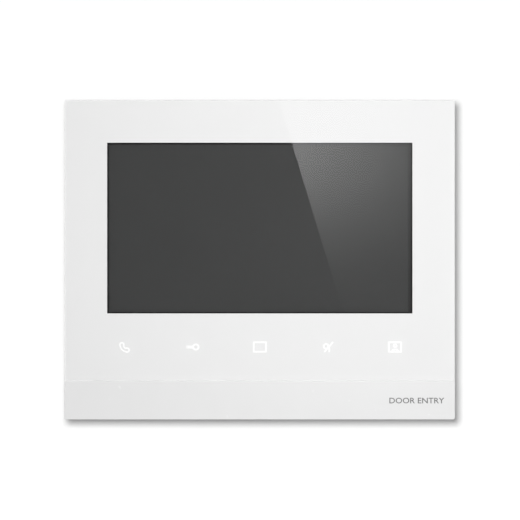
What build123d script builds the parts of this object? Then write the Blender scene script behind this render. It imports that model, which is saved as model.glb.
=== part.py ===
"""Wall-mounted video intercom monitor: a 7 inch display and five touch keys behind one glossy front.

Millimetres. +Z is up, +X is right as seen from the front, and the front faces -Y. The origin is on the wall,
at the centre of the steel wall bracket. "Depth" is the distance in front of the wall, so a depth of d is y = -d.
The housing hangs on four hooks of the bracket and lifts off upwards.
"""

from build123d import *
import math
import os

os.makedirs("parts", exist_ok=True)

# ---------------------------------------------------------------- driving dimensions
# Front
PANEL_W = 198.0
PANEL_H = 162.0
TOTAL_DEPTH = 25.0
PANEL_CORNER_R = 1.2
FRONT_EDGE_R = 0.4
GLASS_T = 2.0
FILM_T = 0.22
BOND_T = 0.03
WINDOW_W = 155.2
WINDOW_H = 86.8
WINDOW_TOP_MARGIN = 21.5
TRIM_H = 19.7
SEAM_GAP = 0.03
GLASS_SEAM_CHAMFER = 0.15
TRIM_SEAM_CHAMFER = 0.35
FILM_INSET = 0.02
TRIM_LEG_XS = (-78.0, 0.0, 78.0)
TRIM_LEG_W = 5.0
TRIM_LEG_T = 1.2
TRIM_CATCH = 0.5

# Touch keys
KEY_COUNT = 5
KEY_PITCH = 34.35
KEY_BELOW_WINDOW = 17.05
KEY_WINDOW_W = 11.6
KEY_WINDOW_H = 8.2

# Front frame
FRAME_WALL = 2.0
FRAME_WEB = 1.6
BOSS_R = 3.2
SCREW_HOLE_R = 1.55
SCREW_R = 1.5

# Rear cover
COVER_SETBACK = 6.0
COVER_DEPTH = 13.5
COVER_WALL = 2.0
COVER_CORNER_R = 4.0
COVER_EDGE_CHAMFER = 1.2
FLANGE_T = 2.0
WALL_GAP = 0.6
FIT = 0.25
HOUSING_SCREW_INSET = 5.5
HEAD_R = 2.8
HEAD_T = 2.0
HEAD_SEAT_DEPTH = 9.0
LABEL_W = 64.0
LABEL_H = 12.0
LABEL_T = 0.12
VENTS = 20
VENT_PITCH = 6.0
VENT_L = 6.0
VENT_W = 1.6

# Wall bracket and the way the housing hangs on it
BRACKET_W = 120.0
BRACKET_H = 92.0
BRACKET_T = 1.2
BRACKET_CORNER_R = 6.0
BRACKET_FLANGE = 3.0
CABLE_OPENING = 44.0
BOX_SCREW_PITCH = 60.0
BOX_SLOT_L = 8.0
BOX_SLOT_W = 4.2
CORNER_HOLE_X = 100.0
CORNER_HOLE_Z = 76.0
CORNER_HOLE_R = 2.25
HOOK_X = 48.0
HOOK_ROWS = (20.0, -30.0)
HOOK_W = 8.0
HOOK_LIP = 5.8
LIFT = 7.0
RECESS_DEPTH = 4.4
RECESS_SIDE_GAP = 6.0
RECESS_END_GAP = 1.5

# Terminal well behind the board
WELL_W = 70.0
WELL_H = 44.0
WELL_WALL = 1.5
WELL_R = 3.0
SHROUD_GAP = 0.2
PLATE_T = 2.0
EAR_R = 3.5
EAR_OUT = 2.5
STAKE_R = 1.5
STAKE_HEAD_R = 2.4
STAKE_HEAD_T = 0.9
STAKE_ROW = 40.0

# Display module
LCD_W = 165.0
LCD_H = 100.0
LCD_T = 5.7
LCD_TOP_BORDER = 5.4
LCD_GLASS_W = 158.6
LCD_GLASS_H = 91.0
LCD_GLASS_T = 1.4
LCD_GLASS_TOP_BORDER = 2.9
BACKLIGHT_T = 2.6
GASKET_T = 0.75
GASKET_RIM = 4.0

# Display clamp and boards
CLAMP_T = 0.8
CLAMP_SCREW_INSET = 12.0
CLAMP_ROW_PITCH = 38.0
CLAMP_ROW_DROP = 0.7
CLAMP_INSET_TOP = 4.7
CLAMP_INSET_BOTTOM = 3.3
CLAMP_INSET_SIDE = 0.5
BOARD_T = 1.6
BOARD_DEPTH = 10.0
BOARD_W = 150.0
BOARD_ABOVE_LCD_CENTRE = 37.3
BOARD_BELOW_LCD_CENTRE = 65.7
STANDOFF_R = 2.5
STANDOFF_X = 68.0
STANDOFF_ABOVE_LCD_CENTRE = 29.3
STANDOFF_BELOW_LCD_CENTRE = 42.7
SMALL_SCREW_R = 1.2
SMALL_HOLE_R = 1.25
SMALL_HEAD_R = 2.2
SMALL_HEAD_T = 1.4
TOUCH_BOARD_W = 166.0
TOUCH_BOARD_H = 13.0
TOUCH_BOARD_T = 1.0
TOUCH_SCREW_X = 79.0
LED_T = 0.8
GUIDE_BASE_T = 0.7
GUIDE_GAP = 0.2

# Speaker and microphone
SPEAKER_X = 45.0
SPEAKER_L = 40.0
SPEAKER_H = 20.0
SPEAKER_ABOVE_EDGE = 14.0
SPEAKER_EAR_X = 24.0
SPEAKER_FLANGE_T = 1.4
SPEAKER_BASKET_T = 2.8
SPEAKER_MAGNET_T = 2.0
SPEAKER_GASKET_T = 1.15
SOUND_SLOTS = 11
SOUND_SLOT_PITCH = 3.4
SOUND_SLOT_W = 1.4
SOUND_SLOT_H = 3.2
MIC_X = -50.0
MIC_R = 2.0
MIC_T = 1.5
MIC_PORT_R = 0.6
BOOT_W = 7.0
BOOT_H = 5.0
BOOT_T = 5.2

# Terminals, address switch and reset key
POLE_PITCH = 5.2
BLOCK_POLES = 2
BLOCK_NAMES = ("bus", "doorbell", "power")
BLOCK_GAP = 0.6
BLOCK_H = 10.0
BLOCK_T = 5.8
PUSHER_W = 3.0
PUSHER_H = 2.4
PUSHER_PROUD = 0.8
PUSHER_TRAVEL = 0.8
PUSHER_LENGTH = 3.8
PUSHER_GAP = 0.12
WIRE_ENTRY_R = 1.0
WIRE_ENTRY_L = 7.0
DIP_WAYS = 4
DIP_PITCH = 2.54
DIP_H = 9.0
DIP_T = 4.0
DIP_SLIDER_W = 1.1
DIP_SLIDER_H = 1.6
DIP_SLIDER_PROUD = 0.7
DIP_TRAVEL = 1.8
DIP_GAP = 0.1
RESET_SIDE = 6.0
RESET_T = 3.5
RESET_R = 1.7
RESET_PROUD = 1.5
RESET_TRAVEL = 0.3
RESET_GAP = 0.1

# ---------------------------------------------------------------- derived places
SEAM_Z = -PANEL_H / 2 + TRIM_H
WINDOW_Z = PANEL_H / 2 - WINDOW_TOP_MARGIN - WINDOW_H / 2
KEY_Z = WINDOW_Z - WINDOW_H / 2 - KEY_BELOW_WINDOW
GLASS_BACK = TOTAL_DEPTH - GLASS_T
FRAME_FRONT = GLASS_BACK - BOND_T - FILM_T
WEB_BACK = FRAME_FRONT - FRAME_WEB
FRAME_INNER_W = PANEL_W - 2 * FRAME_WALL
FRAME_INNER_H = PANEL_H - 2 * FRAME_WALL
COVER_W = PANEL_W - 2 * COVER_SETBACK
COVER_H = PANEL_H - 2 * COVER_SETBACK
COVER_INNER_W = COVER_W - 2 * COVER_WALL
COVER_INNER_H = COVER_H - 2 * COVER_WALL
FLANGE_FRONT = COVER_DEPTH + FLANGE_T
HOUSING_SCREW_X = COVER_W / 2 - HOUSING_SCREW_INSET
HOUSING_SCREW_Z = COVER_H / 2 - HOUSING_SCREW_INSET
RECESS_W = BRACKET_W + 2 * RECESS_SIDE_GAP
RECESS_TOP = BRACKET_H / 2 + RECESS_END_GAP
RECESS_BOTTOM = -BRACKET_H / 2 - LIFT - RECESS_END_GAP
RECESS_H = RECESS_TOP - RECESS_BOTTOM
RECESS_Z = (RECESS_TOP + RECESS_BOTTOM) / 2
RECESS_INNER = RECESS_DEPTH + PLATE_T
PLATE_W = RECESS_W + 2 * COVER_WALL
PLATE_H = RECESS_H + 2 * COVER_WALL
HOOK_GAP = 0.2
HOOK_FRONT = RECESS_INNER + HOOK_GAP + BRACKET_T
LCD_FRONT = FRAME_FRONT - GASKET_T
LCD_BACK = LCD_FRONT - LCD_T
LCD_Z = WINDOW_Z + WINDOW_H / 2 + LCD_TOP_BORDER - LCD_H / 2
LCD_BOTTOM = LCD_Z - LCD_H / 2
LCD_GLASS_Z = LCD_Z + LCD_H / 2 - LCD_GLASS_TOP_BORDER - LCD_GLASS_H / 2
CLAMP_FRONT = LCD_BACK - 0.2
CLAMP_BACK = CLAMP_FRONT - CLAMP_T
CLAMP_SCREW_X = PANEL_W / 2 - CLAMP_SCREW_INSET
BOARD_FRONT = BOARD_DEPTH + BOARD_T
BOARD_TOP = LCD_Z + BOARD_ABOVE_LCD_CENTRE
BOARD_BOTTOM = LCD_Z - BOARD_BELOW_LCD_CENTRE
CLAMP_ROWS = [LCD_Z - CLAMP_ROW_DROP + i * CLAMP_ROW_PITCH for i in (1, 0, -1)]
CLAMP_W = COVER_INNER_W - 2 * CLAMP_INSET_SIDE
CLAMP_TOP = LCD_Z + LCD_H / 2 - CLAMP_INSET_TOP
CLAMP_BOTTOM = LCD_BOTTOM + CLAMP_INSET_BOTTOM
STANDOFF_ROWS = (LCD_Z + STANDOFF_ABOVE_LCD_CENTRE, LCD_Z - STANDOFF_BELOW_LCD_CENTRE)
BOARD_H = BOARD_TOP - BOARD_BOTTOM
BOARD_Z = (BOARD_TOP + BOARD_BOTTOM) / 2
GUIDE_FRONT = FRAME_FRONT - GUIDE_GAP
GUIDE_BASE_FRONT = WEB_BACK - 0.1
GUIDE_BASE_BACK = GUIDE_BASE_FRONT - GUIDE_BASE_T
TOUCH_BOARD_FRONT = GUIDE_BASE_BACK - LED_T - GUIDE_GAP
TOUCH_BOARD_BACK = TOUCH_BOARD_FRONT - TOUCH_BOARD_T
SPEAKER_Z = -PANEL_H / 2 + SPEAKER_ABOVE_EDGE
SPEAKER_FRONT = WEB_BACK - SPEAKER_GASKET_T
SPEAKER_FLANGE_BACK = SPEAKER_FRONT - SPEAKER_FLANGE_T
SPEAKER_BASKET_BACK = SPEAKER_FLANGE_BACK - SPEAKER_BASKET_T
SURROUND_T = 0.3
MIC_DEPTH = WEB_BACK - 0.1 - BOOT_T / 2
MIC_FLOOR = -PANEL_H / 2 + FRAME_WALL
TRIM_LEG_Z = SEAM_Z - TRIM_H / 2
FRAME_BOSS_BACK = FLANGE_FRONT - 0.15
WELL_ROW_TOP = WELL_H / 2 - 3.0
BLOCK_W = BLOCK_POLES * POLE_PITCH
BLOCK_Z = WELL_ROW_TOP - BLOCK_H / 2
BLOCK_BACK = BOARD_DEPTH - BLOCK_T
BLOCK_X0 = -WELL_W / 2 + 3.5 + BLOCK_W / 2
PUSHER_Z = BLOCK_Z + 1.6
DIP_W = DIP_WAYS * DIP_PITCH + 1.4
DIP_X = 12.0
DIP_Z = WELL_ROW_TOP - DIP_H / 2
DIP_BACK = BOARD_DEPTH - DIP_T
DIP_SLOT_H = DIP_SLIDER_H + DIP_TRAVEL + 2 * DIP_GAP
RESET_X = 27.0
RESET_Z = WELL_ROW_TOP - RESET_SIDE / 2 - 1.0
RESET_BACK = BOARD_DEPTH - RESET_T

key_places = [((i - (KEY_COUNT - 1) / 2) * KEY_PITCH, KEY_Z) for i in range(KEY_COUNT)]
hook_places = [(x, z) for x in (-HOOK_X, HOOK_X) for z in HOOK_ROWS]
stake_places = [
    (side * (PLATE_W / 2 + EAR_OUT), RECESS_Z + row) for side in (-1, 1) for row in (-STAKE_ROW, 0, STAKE_ROW)
]
clamp_places = [(x, z) for x in (-CLAMP_SCREW_X, CLAMP_SCREW_X) for z in CLAMP_ROWS]
standoff_places = [(x, z) for x in (-STANDOFF_X, STANDOFF_X) for z in STANDOFF_ROWS]
touch_screw_places = [(-TOUCH_SCREW_X, KEY_Z), (TOUCH_SCREW_X, KEY_Z)]
speaker_ear_places = [(SPEAKER_X - SPEAKER_EAR_X, SPEAKER_Z), (SPEAKER_X + SPEAKER_EAR_X, SPEAKER_Z)]
housing_screw_places = [
    (x, z)
    for x in (-HOUSING_SCREW_X, HOUSING_SCREW_X)
    for z in (-HOUSING_SCREW_Z, HOUSING_SCREW_Z)
]
sound_slot_xs = [SPEAKER_X + (i - (SOUND_SLOTS - 1) / 2) * SOUND_SLOT_PITCH for i in range(SOUND_SLOTS)]


def at_depth(depth):
    """Sketch plane parallel to the wall: local X is right, local Y is up, and extruding goes forward."""
    return Plane(origin=(0, -depth, 0), x_dir=(1, 0, 0), z_dir=(0, -1, 0))


def at_height(z):
    """Horizontal sketch plane: local X is right, local Y is towards the wall, and extruding goes up."""
    return Plane.XY.offset(z)


def save(part, name):
    """Labels a finished piece and writes it as its own STEP file."""
    part.label = name
    export_step(part, f"parts/{name}.step")


def front_slab(back, front):
    """The whole rounded front outline between two depths, its front edge rounded over."""
    with BuildPart() as slab:
        with BuildSketch(at_depth(back)):
            RectangleRounded(PANEL_W, PANEL_H, PANEL_CORNER_R)
        extrude(amount=front - back)
        fillet(slab.faces().sort_by(Axis.Y)[0].edges(), FRONT_EDGE_R)
    return slab.part


def screws(places, head_back, head_r, head_t, shank_r, tip_depth):
    """Pan-head screws driven forward from behind, one solid at each place, with a cross recess in the head."""
    with BuildPart() as group:
        with BuildSketch(at_depth(head_back)):
            with Locations(*places):
                Circle(head_r)
        extrude(amount=head_t)
        rims = group.edges().filter_by_position(Axis.Y, -head_back - 0.001, -head_back + 0.001)
        fillet(rims, head_t * 0.3)
        with BuildSketch(at_depth(head_back + head_t)):
            with Locations(*places):
                Circle(shank_r)
        extrude(amount=tip_depth - head_back - head_t)
        with BuildSketch(at_depth(head_back)):
            with Locations(*places):
                Rectangle(head_r * 1.1, head_r * 0.24)
                Rectangle(head_r * 0.24, head_r * 1.1)
        extrude(amount=head_t * 0.5, mode=Mode.SUBTRACT)
    return group.part


def block(x, z, width, height, back, front):
    """A plain box centred on x and z between two depths, added to the part being built."""
    with Locations((x, -(back + front) / 2, z)):
        Box(width, front - back, height)


def wire(points, radius):
    """A round wire through the points, leaving both ends straight up."""
    with BuildPart() as strand:
        with BuildLine():
            path = Spline(*points, tangents=[(0, 0, 1), (0, 0, 1)])
        with BuildSketch(Plane(origin=path @ 0, z_dir=path % 0)):
            Circle(radius)
        sweep()
    return strand.part


# ---------------------------------------------------------------- wall bracket
with BuildPart() as wall_bracket:
    with BuildSketch(at_depth(0)):
        RectangleRounded(BRACKET_W, BRACKET_H, BRACKET_CORNER_R)
        RectangleRounded(CABLE_OPENING, CABLE_OPENING, 4.0, mode=Mode.SUBTRACT)
        with Locations((-BOX_SCREW_PITCH / 2, 0), (BOX_SCREW_PITCH / 2, 0)):
            SlotOverall(BOX_SLOT_L, BOX_SLOT_W, mode=Mode.SUBTRACT)
        with Locations((0, -BOX_SCREW_PITCH / 2), (0, BOX_SCREW_PITCH / 2)):
            SlotOverall(BOX_SLOT_L, BOX_SLOT_W, rotation=90, mode=Mode.SUBTRACT)
        with GridLocations(CORNER_HOLE_X, CORNER_HOLE_Z, 2, 2):
            Circle(CORNER_HOLE_R, mode=Mode.SUBTRACT)
        for x, z in hook_places:
            with Locations((x, z + BRACKET_T + HOOK_LIP)):
                Rectangle(HOOK_W + 0.8, 2 * HOOK_LIP, mode=Mode.SUBTRACT)
    extrude(amount=BRACKET_T)
    # Each hook reaches forward through its slot in the rear cover and turns up behind it.
    with BuildSketch(at_depth(0)):
        with Locations(*[(x, z + BRACKET_T / 2) for x, z in hook_places]):
            Rectangle(HOOK_W, BRACKET_T)
    extrude(amount=HOOK_FRONT)
    with BuildSketch(at_depth(HOOK_FRONT - BRACKET_T)):
        with Locations(*[(x, z + (BRACKET_T + HOOK_LIP) / 2) for x, z in hook_places]):
            Rectangle(HOOK_W, BRACKET_T + HOOK_LIP)
    extrude(amount=BRACKET_T)
    # Short stiffening flanges folded forward along the top and bottom edges.
    with BuildSketch(at_depth(0)):
        flange_centre = (BRACKET_H - BRACKET_T) / 2
        with Locations((0, flange_centre), (0, -flange_centre)):
            Rectangle(BRACKET_W - 2 * BRACKET_CORNER_R, BRACKET_T)
    extrude(amount=BRACKET_FLANGE)
save(wall_bracket.part, "wall_bracket")

# ---------------------------------------------------------------- rear cover
with BuildPart() as rear_cover:
    with BuildSketch(at_depth(COVER_DEPTH)):
        RectangleRounded(FRAME_INNER_W - 2 * FIT, FRAME_INNER_H - 2 * FIT, PANEL_CORNER_R)
    extrude(amount=FLANGE_T)
    with BuildSketch(at_depth(WALL_GAP)):
        RectangleRounded(COVER_W, COVER_H, COVER_CORNER_R)
    extrude(amount=COVER_DEPTH - WALL_GAP)
    chamfer(rear_cover.faces().sort_by(Axis.Y)[-1].edges(), COVER_EDGE_CHAMFER)
    with BuildSketch(at_depth(WALL_GAP + COVER_WALL)):
        RectangleRounded(COVER_INNER_W, COVER_INNER_H, COVER_CORNER_R - COVER_WALL)
    extrude(amount=TOTAL_DEPTH, mode=Mode.SUBTRACT)
    # The opening that takes the bracket, with a collar that the hook plate sits on.
    with BuildSketch(at_depth(WALL_GAP + COVER_WALL)):
        with Locations((0, RECESS_Z)):
            RectangleRounded(PLATE_W, PLATE_H, BRACKET_CORNER_R + COVER_WALL)
    extrude(amount=RECESS_DEPTH - WALL_GAP - COVER_WALL)
    with BuildSketch(at_depth(0)):
        with Locations((0, RECESS_Z)):
            RectangleRounded(RECESS_W, RECESS_H, BRACKET_CORNER_R)
    extrude(amount=RECESS_DEPTH, mode=Mode.SUBTRACT)
    # Pads and heat-staked posts that hold the hook plate's ears.
    with BuildSketch(at_depth(WALL_GAP + COVER_WALL)):
        with Locations(*stake_places):
            Circle(EAR_R)
    extrude(amount=RECESS_DEPTH - WALL_GAP - COVER_WALL)
    with BuildSketch(at_depth(RECESS_DEPTH)):
        with Locations(*stake_places):
            Circle(STAKE_R)
    extrude(amount=PLATE_T + STAKE_HEAD_T)
    with BuildSketch(at_depth(RECESS_INNER)):
        with Locations(*stake_places):
            Circle(STAKE_HEAD_R)
    extrude(amount=STAKE_HEAD_T)
    stake_tip = -RECESS_INNER - STAKE_HEAD_T
    chamfer(rear_cover.edges().filter_by_position(Axis.Y, stake_tip - 0.001, stake_tip + 0.001), STAKE_HEAD_T * 0.5)
    # Screw bosses in the corners, with deep head recesses from behind.
    with BuildSketch(at_depth(WALL_GAP + COVER_WALL)):
        with Locations(*housing_screw_places):
            Circle(BOSS_R + 1.0)
    extrude(amount=FLANGE_FRONT - 0.2 - WALL_GAP - COVER_WALL)
    with BuildSketch(at_depth(0)):
        with Locations(*housing_screw_places):
            Circle(HEAD_R + 0.3)
    extrude(amount=HEAD_SEAT_DEPTH, mode=Mode.SUBTRACT)
    with BuildSketch(at_depth(0)):
        with Locations(*housing_screw_places):
            Circle(SCREW_HOLE_R + 0.15)
    extrude(amount=TOTAL_DEPTH, mode=Mode.SUBTRACT)
    # Cooling slots through the top and bottom walls.
    for wall_z in (-COVER_H / 2, COVER_H / 2 - COVER_WALL):
        with BuildSketch(at_height(wall_z)):
            with Locations((0, -(COVER_DEPTH + WALL_GAP) / 2)):
                with GridLocations(VENT_PITCH, 1.0, VENTS, 1):
                    SlotOverall(VENT_L, VENT_W, rotation=90)
        extrude(amount=COVER_WALL, mode=Mode.SUBTRACT)
save(rear_cover.part, "rear_cover")

# ---------------------------------------------------------------- hook plate and terminal shroud
with BuildPart() as hook_plate:
    with BuildSketch(at_depth(RECESS_DEPTH)):
        with Locations((0, RECESS_Z)):
            RectangleRounded(PLATE_W, PLATE_H, BRACKET_CORNER_R + COVER_WALL)
        for side in (-1, 1):
            with Locations(*[(x - side * EAR_R, z) for x, z in stake_places if x * side > 0]):
                Rectangle(2 * EAR_R, 2 * EAR_R)
        with Locations(*stake_places):
            Circle(EAR_R)
            Circle(STAKE_R + 0.1, mode=Mode.SUBTRACT)
        RectangleRounded(WELL_W, WELL_H, WELL_R, mode=Mode.SUBTRACT)
        # Slots for the bracket's hooks. At rest the top of each slot sits on its hook.
        hook_slot_h = BRACKET_T + 0.1 + LIFT + 0.6
        with Locations(*[(x, z + BRACKET_T + 0.1 - hook_slot_h / 2) for x, z in hook_places]):
            Rectangle(HOOK_W + 1.6, hook_slot_h, mode=Mode.SUBTRACT)
    extrude(amount=PLATE_T)
save(hook_plate.part, "hook_plate")

# The walls of the terminal well, standing on the plate and reaching to just behind the board.
with BuildPart() as terminal_shroud:
    with BuildSketch(at_depth(RECESS_INNER)):
        RectangleRounded(WELL_W + 2 * WELL_WALL, WELL_H + 2 * WELL_WALL, WELL_R + WELL_WALL)
        RectangleRounded(WELL_W, WELL_H, WELL_R, mode=Mode.SUBTRACT)
    extrude(amount=BOARD_DEPTH - SHROUD_GAP - RECESS_INNER)
save(terminal_shroud.part, "terminal_shroud")

with BuildPart() as rear_label:
    with BuildSketch(at_depth(WALL_GAP - LABEL_T)):
        with Locations((0, (RECESS_BOTTOM - COVER_H / 2) / 2 + COVER_EDGE_CHAMFER / 2)):
            RectangleRounded(LABEL_W, LABEL_H, 1.0)
    extrude(amount=LABEL_T)
save(rear_label.part, "rear_label")

# ---------------------------------------------------------------- front frame
with BuildPart() as front_frame:
    with BuildSketch(at_depth(COVER_DEPTH)):
        RectangleRounded(PANEL_W, PANEL_H, PANEL_CORNER_R)
    extrude(amount=FRAME_FRONT - COVER_DEPTH)
    with BuildSketch(at_depth(COVER_DEPTH)):
        Rectangle(FRAME_INNER_W, FRAME_INNER_H)
    extrude(amount=WEB_BACK - COVER_DEPTH, mode=Mode.SUBTRACT)
    # Bosses behind the web for the housing, the display clamp, the key board and the speaker.
    with BuildSketch(at_depth(FRAME_BOSS_BACK)):
        with Locations(*housing_screw_places):
            Circle(BOSS_R)
    extrude(amount=WEB_BACK - FRAME_BOSS_BACK)
    with BuildSketch(at_depth(CLAMP_FRONT)):
        with Locations(*clamp_places):
            Circle(BOSS_R)
    extrude(amount=WEB_BACK - CLAMP_FRONT)
    with BuildSketch(at_depth(TOUCH_BOARD_FRONT)):
        with Locations(*touch_screw_places):
            Circle(SMALL_HEAD_R)
    extrude(amount=WEB_BACK - TOUCH_BOARD_FRONT)
    with BuildSketch(at_depth(SPEAKER_FRONT)):
        with Locations(*speaker_ear_places):
            Circle(SMALL_HEAD_R)
    extrude(amount=WEB_BACK - SPEAKER_FRONT)
    # Ribs that hold the microphone's rubber boot.
    for side in (-1, 1):
        block(MIC_X + side * (BOOT_W + 1.4) / 2, MIC_FLOOR + BOOT_H / 2, 1.2, BOOT_H, WEB_BACK - BOOT_T, WEB_BACK)
    # The display sits in the large opening; each key has a small light window.
    with BuildSketch(at_depth(WEB_BACK)):
        with Locations((0, LCD_Z)):
            Rectangle(LCD_W + 4 * FIT, LCD_H + 4 * FIT)
        with Locations(*key_places):
            Rectangle(KEY_WINDOW_W, KEY_WINDOW_H)
        with Locations(*[(x, TRIM_LEG_Z) for x in TRIM_LEG_XS]):
            Rectangle(TRIM_LEG_W + 2 * FIT, TRIM_LEG_T + 2 * FIT)
    extrude(amount=FRAME_WEB, mode=Mode.SUBTRACT)
    with BuildSketch(at_depth(COVER_DEPTH)):
        with Locations(*housing_screw_places, *clamp_places):
            Circle(SCREW_HOLE_R)
    extrude(amount=FRAME_FRONT - FRAME_WEB / 2 - COVER_DEPTH, mode=Mode.SUBTRACT)
    with BuildSketch(at_depth(COVER_DEPTH)):
        with Locations(*touch_screw_places, *speaker_ear_places):
            Circle(SMALL_HOLE_R)
    extrude(amount=FRAME_FRONT - FRAME_WEB / 4 - COVER_DEPTH, mode=Mode.SUBTRACT)
    # Sound slots for the speaker and the microphone port, through the bottom wall.
    with BuildSketch(at_height(-PANEL_H / 2)):
        with Locations(*[(x, -(WEB_BACK - SOUND_SLOT_H / 2)) for x in sound_slot_xs]):
            SlotOverall(SOUND_SLOT_H, SOUND_SLOT_W, rotation=90)
        with Locations((MIC_X, -MIC_DEPTH)):
            Circle(MIC_PORT_R)
    extrude(amount=FRAME_WALL, mode=Mode.SUBTRACT)
save(front_frame.part, "front_frame")

# ---------------------------------------------------------------- front glass and lower trim
with BuildPart() as front_glass:
    add(front_slab(GLASS_BACK, TOTAL_DEPTH))
    with BuildSketch(at_depth(GLASS_BACK)):
        with Locations((0, (PANEL_H / 2 + SEAM_Z) / 2)):
            Rectangle(PANEL_W, PANEL_H / 2 - SEAM_Z)
    extrude(amount=GLASS_T, mode=Mode.INTERSECT)
    seam_face = front_glass.faces().sort_by(Axis.Z)[0]
    chamfer(seam_face.edges().filter_by(Axis.X).sort_by(Axis.Y)[0], GLASS_SEAM_CHAMFER)
save(front_glass.part, "front_glass")

with BuildPart() as lower_trim:
    add(front_slab(FRAME_FRONT, TOTAL_DEPTH))
    with BuildSketch(at_depth(FRAME_FRONT)):
        with Locations((0, (SEAM_Z - SEAM_GAP - PANEL_H / 2) / 2)):
            Rectangle(PANEL_W, SEAM_Z - SEAM_GAP + PANEL_H / 2)
    extrude(amount=TOTAL_DEPTH - FRAME_FRONT, mode=Mode.INTERSECT)
    seam_face = lower_trim.faces().sort_by(Axis.Z)[-1]
    chamfer(seam_face.edges().filter_by(Axis.X).sort_by(Axis.Y)[0], TRIM_SEAM_CHAMFER)
    # Snap legs through the frame, each with a catch behind it.
    for x in TRIM_LEG_XS:
        low = TRIM_LEG_Z - TRIM_LEG_T / 2
        high = TRIM_LEG_Z + TRIM_LEG_T / 2
        catch = -WEB_BACK + 0.15
        tip = catch + 1.4
        with BuildSketch(Plane.YZ.offset(x - TRIM_LEG_W / 2)):
            with BuildLine():
                Polyline(
                    (-FRAME_FRONT - 0.3, low),
                    (-FRAME_FRONT - 0.3, high),
                    (catch, high),
                    (catch, high + TRIM_CATCH),
                    (tip, high - 0.2),
                    (tip, low),
                    close=True,
                )
            make_face()
        extrude(amount=TRIM_LEG_W)
save(lower_trim.part, "lower_trim")


# ---------------------------------------------------------------- printed film and its lit symbols
def handset_symbol():
    """Hollow outline of a handset, from upper left to lower right."""
    ear = (-1.4, 1.15)
    mouth = (1.25, -1.55)
    with BuildSketch() as symbol:
        for line_w, lobe_r, mode in ((2.4, 1.4, Mode.ADD), (0.95, 0.65, Mode.SUBTRACT)):
            with BuildLine():
                handle = ThreePointArc(ear, (-0.66, -0.85), mouth)
            trace(handle, line_width=line_w, mode=mode)
            with Locations(ear, mouth):
                Circle(lobe_r, mode=mode)
    return symbol.sketch


def key_symbol():
    """A key lying on its side: a shaft forked at its end, and a ring to the right."""
    with BuildSketch() as symbol:
        with Locations((-1.2, 0.0)):
            Rectangle(3.8, 1.5)
        with Locations((-2.6, 0.0)):
            Rectangle(1.2, 0.4, mode=Mode.SUBTRACT)
        with Locations((1.85, 0.0)):
            Circle(1.8)
            Circle(0.9, mode=Mode.SUBTRACT)
    return symbol.sketch


def screen_symbol():
    """A plain screen outline."""
    with BuildSketch() as symbol:
        RectangleRounded(7.05, 5.6, 0.3)
        RectangleRounded(5.4, 3.95, 0.15, mode=Mode.SUBTRACT)
    return symbol.sketch


def muted_bell_symbol():
    """The outline of a bell's dome and flank, crossed by a bar that rises to the right."""
    with BuildSketch() as symbol:
        with Locations((-0.7, 0.35)):
            Circle(1.55)
            Circle(0.75, mode=Mode.SUBTRACT)
        with Locations((0.95, -1.4)):
            Rectangle(0.8, 2.5)
        with Locations((0.66, 0.0)):
            Rectangle(6.9, 0.8, rotation=48.7)
    return symbol.sketch


def portrait_symbol():
    """A frame with a head and shoulders in it."""
    with BuildSketch() as symbol:
        RectangleRounded(7.05, 5.6, 0.3)
        RectangleRounded(5.4, 3.95, 0.15, mode=Mode.SUBTRACT)
    with BuildSketch() as figure:
        with Locations((0.1, -2.6)):
            Circle(1.95)
            Circle(1.05, mode=Mode.SUBTRACT)
        with Locations((0.1, -1.75)):
            Rectangle(4.0, 1.7, mode=Mode.INTERSECT)
        with Locations((0.1, 0.6)):
            Circle(1.1)
            Circle(0.35, mode=Mode.SUBTRACT)
    return symbol.sketch + figure.sketch


symbols = (handset_symbol(), key_symbol(), screen_symbol(), muted_bell_symbol(), portrait_symbol())

with BuildPart() as decor_film:
    with BuildSketch(at_depth(FRAME_FRONT)):
        with Locations((0, (PANEL_H / 2 + SEAM_Z) / 2)):
            Rectangle(PANEL_W - 2 * FILM_INSET, PANEL_H / 2 - SEAM_Z - 2 * FILM_INSET)
        with Locations((0, WINDOW_Z)):
            Rectangle(WINDOW_W, WINDOW_H, mode=Mode.SUBTRACT)
        for place, symbol in zip(key_places, symbols):
            with Locations(place):
                add(symbol, mode=Mode.SUBTRACT)
    extrude(amount=FILM_T)
save(decor_film.part, "decor_film")

with BuildPart() as key_symbols:
    with BuildSketch(at_depth(FRAME_FRONT)):
        for place, symbol in zip(key_places, symbols):
            with Locations(place):
                add(symbol)
    extrude(amount=FILM_T)
save(key_symbols.part, "key_symbols")

# ---------------------------------------------------------------- display module
with BuildPart() as display_gasket:
    with BuildSketch(at_depth(LCD_FRONT)):
        with Locations((0, LCD_Z)):
            Rectangle(LCD_W, LCD_H)
            Rectangle(LCD_W - 2 * GASKET_RIM, LCD_H - 2 * GASKET_RIM, mode=Mode.SUBTRACT)
    extrude(amount=GASKET_T)
save(display_gasket.part, "display_gasket")

BEZEL_WALL = 0.5
BEZEL_LIP = 0.3
with BuildPart() as lcd_bezel:
    block(0, LCD_Z, LCD_W, LCD_H, LCD_BACK, LCD_FRONT)
    with BuildSketch(at_depth(LCD_BACK)):
        with Locations((0, LCD_Z)):
            Rectangle(LCD_W - 2 * BEZEL_WALL, LCD_H - 2 * BEZEL_WALL)
    extrude(amount=LCD_T - BEZEL_LIP, mode=Mode.SUBTRACT)
    with BuildSketch(at_depth(LCD_BACK)):
        with Locations((0, WINDOW_Z)):
            Rectangle(WINDOW_W + 1.6, WINDOW_H + 1.6)
    extrude(amount=LCD_T, mode=Mode.SUBTRACT)
save(lcd_bezel.part, "lcd_bezel")

panel_front = LCD_FRONT - BEZEL_LIP - 0.05
with BuildPart() as lcd_panel:
    block(0, LCD_GLASS_Z, LCD_GLASS_W, LCD_GLASS_H, panel_front - LCD_GLASS_T, panel_front)
save(lcd_panel.part, "lcd_panel")

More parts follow.
